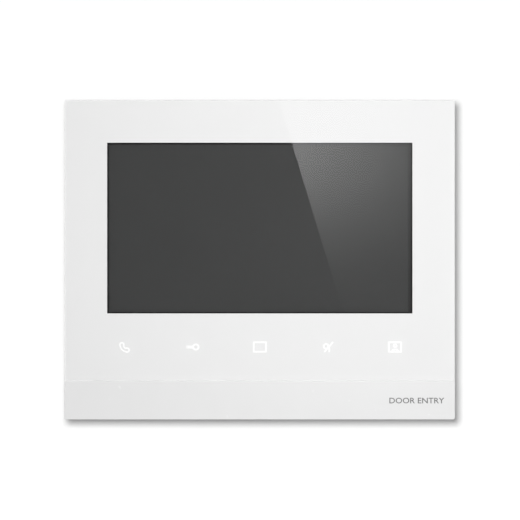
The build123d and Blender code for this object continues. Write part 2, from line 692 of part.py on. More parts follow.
with BuildPart() as backlight_unit:
    backlight_w = LCD_W - 2 * BEZEL_WALL - 0.4
    backlight_h = LCD_H - 2 * BEZEL_WALL - 0.4
    block(0, LCD_Z, backlight_w, backlight_h, LCD_BACK, panel_front - LCD_GLASS_T - 0.05)
    with BuildSketch(at_depth(LCD_BACK)):
        with Locations((0, LCD_Z)):
            with GridLocations(backlight_w / 4, backlight_h / 2, 4, 2):
                Rectangle(backlight_w / 4 - 6, backlight_h / 2 - 6)
    extrude(amount=0.4, mode=Mode.SUBTRACT)
save(backlight_unit.part, "backlight_unit")

FLEX_X = 10.0
FLEX_W = 26.0
FLEX_T = 0.25
CONNECTOR_T = 1.8
with BuildPart() as lcd_flex:
    fold_z = LCD_BOTTOM + 0.8
    entry_depth = BOARD_FRONT + CONNECTOR_T / 2
    block(FLEX_X, fold_z + 1.0, FLEX_W, 2.0, LCD_BACK - FLEX_T, LCD_BACK)
    block(FLEX_X, fold_z, FLEX_W, FLEX_T, entry_depth, LCD_BACK)
    block(FLEX_X, fold_z - 1.25, FLEX_W, 2.5 + FLEX_T, entry_depth, entry_depth + FLEX_T)
save(lcd_flex.part, "lcd_flex")
DISPLAY_CONNECTOR_TOP = LCD_BOTTOM + 0.8 - 2.5 - FLEX_T / 2

# ---------------------------------------------------------------- display clamp
with BuildPart() as display_clamp:
    with BuildSketch(at_depth(CLAMP_BACK)):
        with Locations((0, (CLAMP_TOP + CLAMP_BOTTOM) / 2)):
            RectangleRounded(CLAMP_W, CLAMP_TOP - CLAMP_BOTTOM, 3.0)
        with Locations((-34, CLAMP_ROWS[1]), (34, CLAMP_ROWS[1])):
            RectangleRounded(54, 62, 4.0, mode=Mode.SUBTRACT)
        with Locations(*clamp_places):
            Circle(SCREW_HOLE_R, mode=Mode.SUBTRACT)
    extrude(amount=CLAMP_T)
    with BuildSketch(at_depth(BOARD_FRONT)):
        with Locations(*standoff_places):
            Circle(STANDOFF_R)
    extrude(amount=CLAMP_BACK - BOARD_FRONT)
    with BuildSketch(at_depth(BOARD_FRONT)):
        with Locations(*standoff_places):
            Circle(SMALL_HOLE_R)
    extrude(amount=CLAMP_FRONT - BOARD_FRONT, mode=Mode.SUBTRACT)
save(display_clamp.part, "display_clamp")

save(screws(clamp_places, CLAMP_BACK - SMALL_HEAD_T, 2.8, SMALL_HEAD_T, SCREW_R, CLAMP_BACK + 6.0), "clamp_screws")

# ---------------------------------------------------------------- main board and what is on its front
with BuildPart() as main_board:
    with BuildSketch(at_depth(BOARD_DEPTH)):
        with Locations((0, BOARD_Z)):
            RectangleRounded(BOARD_W, BOARD_H, 1.5)
        with Locations(*standoff_places):
            Circle(SMALL_HOLE_R + 0.15, mode=Mode.SUBTRACT)
    extrude(amount=BOARD_T)
save(main_board.part, "main_board")

save(screws(standoff_places, BOARD_DEPTH - SMALL_HEAD_T, SMALL_HEAD_R, SMALL_HEAD_T, SMALL_SCREW_R, 14.4), "board_screws")

with BuildPart() as processor_chip:
    block(-22, 20, 20, 20, BOARD_FRONT, BOARD_FRONT + 1.4)
    chamfer(processor_chip.faces().sort_by(Axis.Y)[0].edges(), 0.3)
save(processor_chip.part, "processor_chip")

with BuildPart() as shield_can:
    block(24, 24, 34, 26, BOARD_FRONT, BOARD_FRONT + 2.6)
    fillet(shield_can.edges().filter_by(Axis.Y), 1.0)
    with BuildSketch(at_depth(BOARD_FRONT)):
        with Locations((24, 24)):
            Rectangle(33.4, 25.4)
    extrude(amount=2.3, mode=Mode.SUBTRACT)
save(shield_can.part, "shield_can")

with BuildPart() as capacitors:
    with BuildSketch(at_depth(BOARD_FRONT)):
        with Locations((56, 30), (56, 21), (56, 12), (-56, 20)):
            Circle(3.1)
    extrude(amount=3.2)
    cans = capacitors.edges().filter_by_position(Axis.Y, -BOARD_FRONT - 3.201, -BOARD_FRONT - 3.199)
    fillet(cans, 0.5)
save(capacitors.part, "capacitors")

with BuildPart() as inductors:
    for z in (-2.0, -12.0):
        block(56, z, 7, 7, BOARD_FRONT, BOARD_FRONT + 3.0)
    fillet(inductors.edges().filter_by(Axis.Y), 1.2)
save(inductors.part, "inductors")

with BuildPart() as display_connector:
    block(FLEX_X, DISPLAY_CONNECTOR_TOP - 2.0, FLEX_W + 3, 4.0, BOARD_FRONT, BOARD_FRONT + CONNECTOR_T)
save(display_connector.part, "display_connector")

RIBBON_X = -40.0
RIBBON_W = 8.0
TOUCH_CONNECTOR_BOTTOM = KEY_Z - TOUCH_BOARD_H / 2 + 4.9
with BuildPart() as touch_connector:
    block(RIBBON_X, TOUCH_CONNECTOR_BOTTOM + 1.75, RIBBON_W + 3, 3.5, BOARD_FRONT, BOARD_FRONT + CONNECTOR_T)
save(touch_connector.part, "touch_connector")

PLUG_BOTTOM = BOARD_BOTTOM + 0.5
PLUG_T = 3.2
SPEAKER_PLUG_X = 36.0
MIC_PLUG_X = -56.0
with BuildPart() as speaker_connector:
    block(SPEAKER_PLUG_X, PLUG_BOTTOM + 2.25, 7.0, 4.5, BOARD_FRONT, BOARD_FRONT + PLUG_T)
save(speaker_connector.part, "speaker_connector")

with BuildPart() as mic_connector:
    block(MIC_PLUG_X, PLUG_BOTTOM + 2.25, 6.0, 4.5, BOARD_FRONT, BOARD_FRONT + PLUG_T)
save(mic_connector.part, "mic_connector")

# ---------------------------------------------------------------- key board, light guide and lamps
with BuildPart() as touch_board:
    with BuildSketch(at_depth(TOUCH_BOARD_BACK)):
        with Locations((0, KEY_Z)):
            Rectangle(TOUCH_BOARD_W, TOUCH_BOARD_H)
        with Locations(*touch_screw_places):
            Circle(SMALL_HOLE_R + 0.1, mode=Mode.SUBTRACT)
    extrude(amount=TOUCH_BOARD_T)
save(touch_board.part, "touch_board")

touch_head_back = TOUCH_BOARD_BACK - SMALL_HEAD_T
save(screws(touch_screw_places, touch_head_back, SMALL_HEAD_R, SMALL_HEAD_T, SMALL_SCREW_R, 22.0), "touch_board_screws")

with BuildPart() as icon_light_guide:
    block(0, KEY_Z, 2 * TOUCH_SCREW_X - 8, TOUCH_BOARD_H - 2, GUIDE_BASE_BACK, GUIDE_BASE_FRONT)
    with BuildSketch(at_depth(GUIDE_BASE_FRONT)):
        with Locations(*key_places):
            Rectangle(KEY_WINDOW_W - 2 * FIT, KEY_WINDOW_H - 2 * FIT)
    extrude(amount=GUIDE_FRONT - GUIDE_BASE_FRONT)
save(icon_light_guide.part, "icon_light_guide")

with BuildPart() as icon_leds:
    with BuildSketch(at_depth(TOUCH_BOARD_FRONT)):
        with Locations(*key_places):
            Rectangle(3.5, 2.8)
    extrude(amount=LED_T)
save(icon_leds.part, "icon_leds")

with BuildPart() as touch_ribbon:
    ribbon_depth = BOARD_FRONT + CONNECTOR_T / 2
    ribbon_z = KEY_Z - TOUCH_BOARD_H / 2 + 1.6
    block(RIBBON_X, ribbon_z + 1.0, RIBBON_W, 2.0, TOUCH_BOARD_BACK - FLEX_T, TOUCH_BOARD_BACK)
    block(RIBBON_X, ribbon_z, RIBBON_W, FLEX_T, ribbon_depth, TOUCH_BOARD_BACK)
    ribbon_low = ribbon_z - FLEX_T / 2
    ribbon_mid = (TOUCH_CONNECTOR_BOTTOM + ribbon_low) / 2
    block(RIBBON_X, ribbon_mid, RIBBON_W, TOUCH_CONNECTOR_BOTTOM - ribbon_low, ribbon_depth, ribbon_depth + FLEX_T)
save(touch_ribbon.part, "touch_ribbon")

# ---------------------------------------------------------------- speaker
with BuildPart() as speaker_basket:
    with BuildSketch(at_depth(SPEAKER_FLANGE_BACK)):
        with Locations((SPEAKER_X, SPEAKER_Z)):
            SlotOverall(SPEAKER_L, SPEAKER_H)
            SlotOverall(2 * SPEAKER_EAR_X + 6, 6.0)
        with Locations(*speaker_ear_places):
            Circle(SMALL_HOLE_R + 0.1, mode=Mode.SUBTRACT)
    extrude(amount=SPEAKER_FLANGE_T)
    with BuildSketch(at_depth(SPEAKER_BASKET_BACK)):
        with Locations((SPEAKER_X, SPEAKER_Z)):
            SlotOverall(SPEAKER_L - 4, SPEAKER_H - 4)
    extrude(amount=SPEAKER_BASKET_T)
    with BuildSketch(at_depth(SPEAKER_BASKET_BACK + 0.6)):
        with Locations((SPEAKER_X, SPEAKER_Z)):
            SlotOverall(SPEAKER_L - 5.5, SPEAKER_H - 5.5)
    extrude(amount=SPEAKER_FLANGE_T + SPEAKER_BASKET_T, mode=Mode.SUBTRACT)
    # Solder tab for the leads.
    block(SPEAKER_X - 5, SPEAKER_Z + SPEAKER_H / 2, 5.0, 2.0, SPEAKER_FLANGE_BACK, SPEAKER_FLANGE_BACK + 0.8)
save(speaker_basket.part, "speaker_basket")

cone_front = SPEAKER_FRONT + SURROUND_T
cone_back = SPEAKER_BASKET_BACK + 1.6
with BuildPart() as speaker_cone:
    with BuildSketch(at_depth(SPEAKER_FRONT)):
        with Locations((SPEAKER_X, SPEAKER_Z)):
            SlotOverall(SPEAKER_L - 1, SPEAKER_H - 1)
    extrude(amount=SURROUND_T)
    with BuildSketch(at_depth(cone_back)):
        with Locations((SPEAKER_X, SPEAKER_Z)):
            SlotOverall(15, 6)
    with BuildSketch(at_depth(SPEAKER_FRONT + 0.01)):
        with Locations((SPEAKER_X, SPEAKER_Z)):
            SlotOverall(33, 13)
    loft()
    with BuildSketch(at_depth(cone_back + 0.4)):
        with Locations((SPEAKER_X, SPEAKER_Z)):
            SlotOverall(14, 5)
    with BuildSketch(at_depth(cone_front)):
        with Locations((SPEAKER_X, SPEAKER_Z)):
            SlotOverall(32, 12)
    loft(mode=Mode.SUBTRACT)
save(speaker_cone.part, "speaker_cone")

with BuildPart() as speaker_magnet:
    with BuildSketch(at_depth(SPEAKER_BASKET_BACK - SPEAKER_MAGNET_T)):
        with Locations((SPEAKER_X, SPEAKER_Z)):
            SlotOverall(18, 9)
    extrude(amount=SPEAKER_MAGNET_T)
save(speaker_magnet.part, "speaker_magnet")

with BuildPart() as speaker_gasket:
    with BuildSketch(at_depth(cone_front)):
        with Locations((SPEAKER_X, SPEAKER_Z)):
            SlotOverall(SPEAKER_L, SPEAKER_H)
            SlotOverall(SPEAKER_L - 7, SPEAKER_H - 7, mode=Mode.SUBTRACT)
        with Locations((SPEAKER_X, SPEAKER_Z - SPEAKER_H / 2)):
            Rectangle(SPEAKER_L - 16, SPEAKER_H / 2, mode=Mode.SUBTRACT)
    extrude(amount=WEB_BACK - cone_front)
save(speaker_gasket.part, "speaker_gasket")

ear_head_back = SPEAKER_FLANGE_BACK - SMALL_HEAD_T
save(screws(speaker_ear_places, ear_head_back, SMALL_HEAD_R, SMALL_HEAD_T, SMALL_SCREW_R, 22.0), "speaker_screws")

with BuildPart() as speaker_cable:
    for offset in (-1.0, 1.0):
        tab = (SPEAKER_X - 5 + offset, -(SPEAKER_FLANGE_BACK - 0.55), SPEAKER_Z + SPEAKER_H / 2 + 0.2)
        plug = (SPEAKER_PLUG_X + offset, -(BOARD_FRONT + PLUG_T / 2), PLUG_BOTTOM)
        add(wire((tab, plug), 0.5))
save(speaker_cable.part, "speaker_cable")

# ---------------------------------------------------------------- microphone
boot_bottom = MIC_FLOOR + 0.1
capsule_bottom = boot_bottom + 1.0
with BuildPart() as mic_boot:
    block(MIC_X, boot_bottom + BOOT_H / 2, BOOT_W, BOOT_H, MIC_DEPTH - BOOT_T / 2, MIC_DEPTH + BOOT_T / 2)
    fillet(mic_boot.edges().filter_by(Axis.Z), 0.8)
    with BuildSketch(at_height(boot_bottom)):
        with Locations((MIC_X, -MIC_DEPTH)):
            Circle(MIC_PORT_R)
    extrude(amount=BOOT_H, mode=Mode.SUBTRACT)
    with BuildSketch(at_height(capsule_bottom)):
        with Locations((MIC_X, -MIC_DEPTH)):
            Circle(MIC_R + 0.05)
    extrude(amount=BOOT_H, mode=Mode.SUBTRACT)
save(mic_boot.part, "mic_boot")

with BuildPart() as mic_capsule:
    with BuildSketch(at_height(capsule_bottom + 0.02)):
        with Locations((MIC_X, -MIC_DEPTH)):
            Circle(MIC_R)
    extrude(amount=MIC_T)
save(mic_capsule.part, "mic_capsule")

with BuildPart() as mic_cable:
    for offset in (-0.9, 0.9):
        pad = (MIC_X + offset, -MIC_DEPTH, capsule_bottom + 0.02 + MIC_T)
        plug = (MIC_PLUG_X + offset, -(BOARD_FRONT + PLUG_T / 2), PLUG_BOTTOM)
        add(wire((pad, plug), 0.4))
save(mic_cable.part, "mic_cable")

# ---------------------------------------------------------------- housing screws
seat_back = HEAD_SEAT_DEPTH - HEAD_T
save(screws(housing_screw_places, seat_back, HEAD_R, HEAD_T, SCREW_R, seat_back + 12.0), "housing_screws")

# ---------------------------------------------------------------- spring terminals in the well
entry_depth = BLOCK_BACK + 2.6
entry_z = BLOCK_Z - BLOCK_H / 2
for index, block_name in enumerate(BLOCK_NAMES):
    block_x = BLOCK_X0 + index * (BLOCK_W + BLOCK_GAP)
    pole_xs = [block_x + (i - (BLOCK_POLES - 1) / 2) * POLE_PITCH for i in range(BLOCK_POLES)]
    with BuildPart() as terminal_block:
        block(block_x, BLOCK_Z, BLOCK_W, BLOCK_H, BLOCK_BACK, BOARD_DEPTH)
        chamfer(terminal_block.faces().sort_by(Axis.Y)[-1].edges().filter_by(Axis.X), 0.8)
        with BuildSketch(at_depth(BLOCK_BACK)):
            with Locations(*[(x, PUSHER_Z) for x in pole_xs]):
                Rectangle(PUSHER_W + 2 * PUSHER_GAP, PUSHER_H + 2 * PUSHER_GAP)
        extrude(amount=PUSHER_LENGTH + PUSHER_GAP, mode=Mode.SUBTRACT)
        with BuildSketch(at_height(entry_z)):
            with Locations(*[(x, -entry_depth) for x in pole_xs]):
                Circle(WIRE_ENTRY_R)
        extrude(amount=PUSHER_Z - PUSHER_H / 2 - entry_z - 0.9, mode=Mode.SUBTRACT)
    save(terminal_block.part, f"terminal_block_{block_name}")
    for pole, x in enumerate(pole_xs, start=1):
        pusher_back = BLOCK_BACK - PUSHER_PROUD
        with BuildPart() as terminal_pusher:
            block(x, PUSHER_Z, PUSHER_W, PUSHER_H, pusher_back, pusher_back + PUSHER_LENGTH)
            with BuildSketch(at_depth(pusher_back)):
                with Locations((x, PUSHER_Z)):
                    Rectangle(PUSHER_W * 0.6, 0.5)
            extrude(amount=0.4, mode=Mode.SUBTRACT)
        save(terminal_pusher.part, f"pusher_{block_name}_{pole}")

# ---------------------------------------------------------------- address switch
slider_low_z = DIP_Z - DIP_TRAVEL / 2
slider_xs = [DIP_X + (i - (DIP_WAYS - 1) / 2) * DIP_PITCH for i in range(DIP_WAYS)]
with BuildPart() as dip_housing:
    block(DIP_X, DIP_Z, DIP_W, DIP_H, DIP_BACK, BOARD_DEPTH)
    with BuildSketch(at_depth(DIP_BACK)):
        with Locations(*[(x, DIP_Z) for x in slider_xs]):
            Rectangle(DIP_SLIDER_W + 2 * DIP_GAP, DIP_SLOT_H)
    extrude(amount=1.6, mode=Mode.SUBTRACT)
save(dip_housing.part, "dip_housing")

for way, x in enumerate(slider_xs, start=1):
    with BuildPart() as dip_slider:
        block(x, slider_low_z, DIP_SLIDER_W, DIP_SLIDER_H, DIP_BACK - DIP_SLIDER_PROUD, DIP_BACK + 1.5)
    save(dip_slider.part, f"dip_slider_{way}")

# ---------------------------------------------------------------- reset key
with BuildPart() as reset_switch:
    block(RESET_X, RESET_Z, RESET_SIDE, RESET_SIDE, RESET_BACK, BOARD_DEPTH)
    with BuildSketch(at_depth(RESET_BACK)):
        with Locations((RESET_X, RESET_Z)):
            Circle(RESET_R + RESET_GAP)
    extrude(amount=1.4, mode=Mode.SUBTRACT)
save(reset_switch.part, "reset_switch")

with BuildPart() as reset_plunger:
    with BuildSketch(at_depth(RESET_BACK - RESET_PROUD)):
        with Locations((RESET_X, RESET_Z)):
            Circle(RESET_R)
    extrude(amount=RESET_PROUD + 1.0)
    chamfer(reset_plunger.faces().sort_by(Axis.Y)[-1].edges(), 0.25)
save(reset_plunger.part, "reset_plunger")
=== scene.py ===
"""Looks for the wall-mounted video intercom monitor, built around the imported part."""
import math

import bpy
from mathutils import Matrix, Vector


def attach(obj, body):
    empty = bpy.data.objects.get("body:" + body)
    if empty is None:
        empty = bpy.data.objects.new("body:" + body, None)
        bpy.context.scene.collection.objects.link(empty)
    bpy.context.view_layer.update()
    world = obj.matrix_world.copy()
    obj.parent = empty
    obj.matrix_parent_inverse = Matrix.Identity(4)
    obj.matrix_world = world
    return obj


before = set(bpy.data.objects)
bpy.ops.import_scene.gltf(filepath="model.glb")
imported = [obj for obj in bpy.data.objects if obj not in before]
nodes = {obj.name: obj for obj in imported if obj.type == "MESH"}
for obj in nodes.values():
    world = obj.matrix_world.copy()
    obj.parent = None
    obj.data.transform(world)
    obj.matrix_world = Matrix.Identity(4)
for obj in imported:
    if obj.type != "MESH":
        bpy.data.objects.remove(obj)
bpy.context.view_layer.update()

# Places on the front, in metres
DEPTH = 0.025
WINDOW_W = 0.1552
WINDOW_H = 0.0868
WINDOW_Z = 0.0161
KEY_Z = -0.04435
KEY_PITCH = 0.03435
LABEL_W = 0.064
LABEL_H = 0.012

# The display's active area, and where its right-hand end turns darker
ACTIVE_LEFT = -0.0770
ACTIVE_RIGHT = 0.0769
ACTIVE_BOTTOM = -0.0267
ACTIVE_TOP = 0.0587
ACTIVE_EDGE = 0.0001
DIM_FROM = 0.0752
DIM_TO = 0.0759

# Glow put into surfaces: a painted highlight on the glass's turned edges and a stronger one on its bottom edge at
# the seam, a glow round each backlit symbol, and the stage's even glow
EDGE_PAINTED_HIGHLIGHT = 0.34
SEAM_PAINTED_HIGHLIGHT = 0.76
SEAM_PAINTED_HIGHLIGHT_FROM = -0.0608
SEAM_PAINTED_HIGHLIGHT_TO = -0.0611
HALO_GLOW = 0.012
HALO_R = 0.0085
HALO_CORE_R = 0.0015
STAGE_GLOW = 0.22


# ------------------------------------------------------------------ material helpers
class Graph:
    """A material's node tree, built one node at a time."""

    def __init__(self, name):
        self.mat = bpy.data.materials.new(name)
        self.mat.use_nodes = True
        self.tree = self.mat.node_tree
        self.tree.nodes.clear()
        self.out = self.tree.nodes.new("ShaderNodeOutputMaterial")
        self.coords = self.tree.nodes.new("ShaderNodeTexCoord")
        self.place = self.coords.outputs["Object"]

    def add(self, kind, inputs=None, **props):
        node = self.tree.nodes.new(kind)
        for key, value in props.items():
            setattr(node, key, value)
        for key, value in (inputs or {}).items():
            self.put(node.inputs[key], value)
        return node

    def put(self, socket, value):
        if isinstance(value, bpy.types.NodeSocket):
            self.tree.links.new(value, socket)
        else:
            socket.default_value = value

    def math(self, operation, a, b=0.0, clamp=False):
        node = self.tree.nodes.new("ShaderNodeMath")
        node.operation = operation
        node.use_clamp = clamp
        self.put(node.inputs[0], a)
        self.put(node.inputs[1], b)
        return node.outputs[0]

    def xyz(self):
        return list(self.add("ShaderNodeSeparateXYZ", {0: self.place}).outputs)

    def noise(self, scale, detail=3.0, stretch=(1, 1, 1), rough=0.55):
        mapped = self.add("ShaderNodeMapping", {"Vector": self.place, "Scale": stretch}).outputs[0]
        inputs = {"Vector": mapped, "Scale": scale, "Detail": detail, "Roughness": rough}
        return self.add("ShaderNodeTexNoise", inputs).outputs["Fac"]

    def span(self, value, low, high, out_low=0.0, out_high=1.0):
        """Maps low..high of a value smoothly to out_low..out_high."""
        node = self.add("ShaderNodeMapRange", {"Value": value}, interpolation_type="SMOOTHSTEP")
        node.inputs["From Min"].default_value = low
        node.inputs["From Max"].default_value = high
        node.inputs["To Min"].default_value = out_low
        node.inputs["To Max"].default_value = out_high
        return node.outputs["Result"]

    def mix(self, fac, a, b):
        node = self.add("ShaderNodeMix", data_type="RGBA")
        self.put(node.inputs[0], fac)
        self.put(node.inputs[6], a)
        self.put(node.inputs[7], b)
        return node.outputs[2]

    def bump(self, height, strength, distance):
        node = self.add("ShaderNodeBump", {"Height": height, "Strength": strength, "Distance": distance})
        return node.outputs["Normal"]

    def principled(self, **inputs):
        node = self.add("ShaderNodeBsdfPrincipled", {k.replace("_", " "): v for k, v in inputs.items()})
        return node.outputs[0]

    def finish(self, shader):
        self.tree.links.new(shader, self.out.inputs["Surface"])
        return self.mat


def grey(v, warm=0.0):
    return (v * (1 + warm), v, v * (1 - warm), 1.0)


def rgb(r, g, b):
    return (r, g, b, 1.0)


def shade(colour, k):
    return (colour[0] * k, colour[1] * k, colour[2] * k, 1.0)


def moulded(name, colour, rough=0.45, grain=1800.0, depth=0.00004, vary=0.04, coat=0.0):
    """Moulded plastic: a fine grain, and colour and gloss that drift a little over the piece."""
    g = Graph(name)
    drift = g.noise(38.0, 2.0)
    fine = g.noise(grain, 3.0)
    base = g.mix(g.span(drift, 0.3, 0.7), shade(colour, 1 - vary), colour)
    gloss = g.span(g.noise(160.0, 3.0), 0.25, 0.75, rough * 0.88, min(1.0, rough * 1.15))
    normal = g.bump(fine, 0.5, depth)
    shader = g.principled(
        Base_Color=base,
        Roughness=gloss,
        Normal=normal,
        Coat_Weight=coat,
        Coat_Roughness=0.12,
    )
    return g.finish(shader)


def sheet_metal(name, colour, rough=0.35, stretch=(1, 1, 1), spangle=90.0, lines=0.25):
    """Plated sheet: crystals in the plating and faint rolling lines."""
    g = Graph(name)
    cells = g.add("ShaderNodeTexVoronoi", {"Vector": g.place, "Scale": spangle, "Randomness": 1.0})
    tone = g.add("ShaderNodeSeparateColor", {0: cells.outputs["Color"]}).outputs[0]
    rolled = g.noise(900.0, 4.0, stretch)
    base = g.mix(g.span(tone, 0.0, 1.0), shade(colour, 0.90), colour)
    crystal_gloss = g.span(tone, 0.0, 1.0, rough * 0.75, rough * 1.1)
    gloss = g.math("ADD", crystal_gloss, g.span(rolled, 0.3, 0.7, 0.0, 0.12))
    normal = g.bump(rolled, lines, 0.00003)
    shader = g.principled(Base_Color=base, Metallic=1.0, Roughness=gloss, Normal=normal)
    return g.finish(shader)


def frame_middle(name):
    """The middle of a carried-over node, in metres."""
    points = [nodes[name].matrix_world @ v.co for v in nodes[name].data.vertices]
    return [(min(p[i] for p in points) + max(p[i] for p in points)) / 2 for i in range(3)]


def use(names, material):
    """Gives carried-over nodes their finish."""
    for name in names if isinstance(names, (list, tuple)) else [names]:
        data = nodes[name].data
        data.materials.clear()
        data.materials.append(material)


# ------------------------------------------------------------------ front glass
def glass_material():
    """Clear acrylic: a mirror on its outer face only, and milky where the sheet's edges turn away. Those turned
    edges glow with a painted highlight, strongest on the bottom edge at the seam.
    """
    g = Graph("clear_front")
    x, y, z = g.xyz()
    normal = g.add("ShaderNodeNewGeometry").outputs["Normal"]
    normal_y = g.add("ShaderNodeSeparateXYZ", {0: normal}).outputs[1]
    turned = g.span(g.math("ABSOLUTE", normal_y), 0.995, 0.55)
    outer = g.math("LESS_THAN", y, -DEPTH + 0.0004)
    in_x = g.math("LESS_THAN", g.math("ABSOLUTE", x), WINDOW_W / 2)
    in_z = g.math("LESS_THAN", g.math("ABSOLUTE", g.math("SUBTRACT", z, WINDOW_Z)), WINDOW_H / 2)
    over_window = g.span(g.math("MULTIPLY", in_x, in_z), 0.0, 1.0, 0.2, 1.0)
    fresnel = g.add("ShaderNodeFresnel", {"IOR": 1.49}).outputs[0]
    from_outside = g.math("SUBTRACT", 1.0, g.add("ShaderNodeNewGeometry").outputs["Backfacing"])
    outer_gloss = g.math("MULTIPLY", fresnel, outer)
    mirror = g.math("MULTIPLY", outer_gloss, g.math("MULTIPLY", over_window, from_outside))
    clear = g.add("ShaderNodeBsdfTransparent", {"Color": grey(0.995)}).outputs[0]
    smear = g.span(g.noise(60.0, 3.0), 0.3, 0.7, 0.006, 0.014)
    # Painted highlight: the turned edges glow, and the bottom edge at the seam with the lower strip glows most.
    painted_edge_highlight = g.span(z, SEAM_PAINTED_HIGHLIGHT_FROM, SEAM_PAINTED_HIGHLIGHT_TO, EDGE_PAINTED_HIGHLIGHT, SEAM_PAINTED_HIGHLIGHT)
    gloss = g.add("ShaderNodeBsdfGlossy", {"Color": grey(1.0), "Roughness": smear}).outputs[0]
    flat = g.add("ShaderNodeMixShader", {0: mirror, 1: clear, 2: gloss}).outputs[0]
    skin = g.principled(
        Base_Color=grey(0.90),
        Roughness=0.22,
        Coat_Weight=0.3,
        Coat_Roughness=0.08,
        Emission_Color=grey(1.0),
        Emission_Strength=painted_edge_highlight,
    )
    milky = g.add("ShaderNodeBsdfTranslucent", {"Color": grey(0.94)}).outputs[0]
    edge = g.add("ShaderNodeMixShader", {0: 0.5, 1: skin, 2: milky}).outputs[0]
    through = g.add("ShaderNodeMixShader", {0: 0.4, 1: edge, 2: clear}).outputs[0]
    return g.finish(g.add("ShaderNodeMixShader", {0: turned, 1: flat, 2: through}).outputs[0])


def film_material():
    """White print behind the glass, a little brighter round each backlit symbol."""
    g = Graph("printed_white")
    x, _, z = g.xyz()
    halo = None
    for i in range(5):
        away_x = g.math("SUBTRACT", x, (i - 2) * KEY_PITCH)
        away_z = g.math("SUBTRACT", z, KEY_Z)
        square = g.math("ADD", g.math("MULTIPLY", away_x, away_x), g.math("MULTIPLY", away_z, away_z))
        one = g.span(g.math("SQRT", square), HALO_R, HALO_CORE_R)
        halo = one if halo is None else g.math("ADD", halo, one)
    print_tone = g.mix(g.span(g.noise(420.0, 4.0), 0.2, 0.8), grey(0.646), grey(0.656))
    shader = g.principled(
        Base_Color=print_tone,
        Roughness=0.6,
        Specular_IOR_Level=0.15,
        Emission_Color=grey(1.0),
        Emission_Strength=g.math("MULTIPLY", halo, HALO_GLOW),
    )
    return g.finish(shader)


def symbol_material():
    g = Graph("lit_symbol")
    glow = g.span(g.noise(500.0, 2.0), 0.2, 0.8, 0.06, 0.08)
    shader = g.principled(
        Base_Color=grey(0.75),
        Roughness=0.5,
        Emission_Color=grey(1.0),
        Emission_Strength=glow,
    )
    return g.finish(shader)


def display_material():
    """Switched-off panel: the active area is a very dark grey inside a black border."""
    g = Graph("dark_display")
    x, _, z = g.xyz()
    from_left = g.span(x, ACTIVE_LEFT, ACTIVE_LEFT + ACTIVE_EDGE)
    from_right = g.span(x, ACTIVE_RIGHT, ACTIVE_RIGHT - ACTIVE_EDGE)
    from_bottom = g.span(z, ACTIVE_BOTTOM, ACTIVE_BOTTOM + ACTIVE_EDGE)
    from_top = g.span(z, ACTIVE_TOP, ACTIVE_TOP - ACTIVE_EDGE)
    in_x = g.math("MULTIPLY", from_left, from_right)
    in_z = g.math("MULTIPLY", from_bottom, from_top)
    active = g.math("MULTIPLY", in_x, in_z)
    drift = g.span(g.noise(30.0, 2.0), 0.3, 0.7)
    tone = g.mix(drift, rgb(0.0345, 0.0350, 0.0348), rgb(0.0358, 0.0363, 0.0361))
    dim_side = g.mix(g.span(x, DIM_FROM, DIM_TO), tone, grey(0.024))
    base = g.mix(active, grey(0.008), dim_side)
    return g.finish(g.principled(Base_Color=base, Roughness=0.42, Specular_IOR_Level=0.25))


use("front_glass", glass_material())
use("decor_film", film_material())
use("key_symbols", symbol_material())
use("lcd_panel", display_material())
trim_finish = moulded(
    "gloss_white_trim", grey(0.64), rough=0.24, grain=2600.0, depth=0.000008, vary=0.012, coat=0.25
)
use("lower_trim", trim_finish)
frame_finish = moulded("satin_white_frame", grey(0.80), rough=0.38, grain=2200.0, depth=0.00002, vary=0.02)
use("front_frame", frame_finish)

# ------------------------------------------------------------------ rear and fixing
ROLLED = (1, 1, 14)
use("rear_cover", moulded("grained_cover", grey(0.62), rough=0.62, grain=2400.0, depth=0.00012, vary=0.03))
plate_finish = moulded("moulded_plate", grey(0.58), rough=0.5, grain=1500.0, depth=0.00003)
use(["hook_plate", "terminal_shroud"], plate_finish)
bracket_finish = sheet_metal("galvanised_steel", rgb(0.66, 0.67, 0.68), rough=0.38, stretch=ROLLED, spangle=260.0)
use("wall_bracket", bracket_finish)


def label_material():
    """A white label with a thin frame and ruled lines, for the installer's own notes."""
    g = Graph("ruled_label")
    x, _, z = g.xyz()
    middle = frame_middle("rear_label")
    across = g.math("ABSOLUTE", g.math("SUBTRACT", x, middle[0]))
    up = g.math("SUBTRACT", z, middle[2])
    side = g.math("COMPARE", across, LABEL_W / 2 - 0.0012)
    side.node.inputs[2].default_value = 0.00014
    rim = g.math("COMPARE", g.math("ABSOLUTE", up), LABEL_H / 2 - 0.0012)
    rim.node.inputs[2].default_value = 0.00014
    rules = g.math("COMPARE", g.math("ABSOLUTE", up), 0.0014)
    rules.node.inputs[2].default_value = 0.00008
    in_x = g.math("LESS_THAN", across, LABEL_W / 2 - 0.0011)
    in_z = g.math("LESS_THAN", g.math("ABSOLUTE", up), LABEL_H / 2 - 0.0011)
    ruled = g.math("MULTIPLY", rules, g.math("LESS_THAN", across, LABEL_W / 2 - 0.004))
    ink = g.math("MAXIMUM", g.math("MULTIPLY", side, in_z), g.math("MULTIPLY", rim, in_x))
    ink = g.math("MAXIMUM", ink, ruled)
    paper = g.mix(g.span(g.noise(700.0, 3.0), 0.3, 0.7), grey(0.74), grey(0.78))
    base = g.mix(ink, paper, grey(0.10))
    return g.finish(g.principled(Base_Color=base, Roughness=0.38, Coat_Weight=0.2, Coat_Roughness=0.2))


use("rear_label", label_material())
SCREWS = ["housing_screws", "clamp_screws", "board_screws", "touch_board_screws", "speaker_screws"]
use(SCREWS, sheet_metal("zinc_screws", rgb(0.60, 0.61, 0.62), rough=0.3, spangle=900.0, lines=0.1))


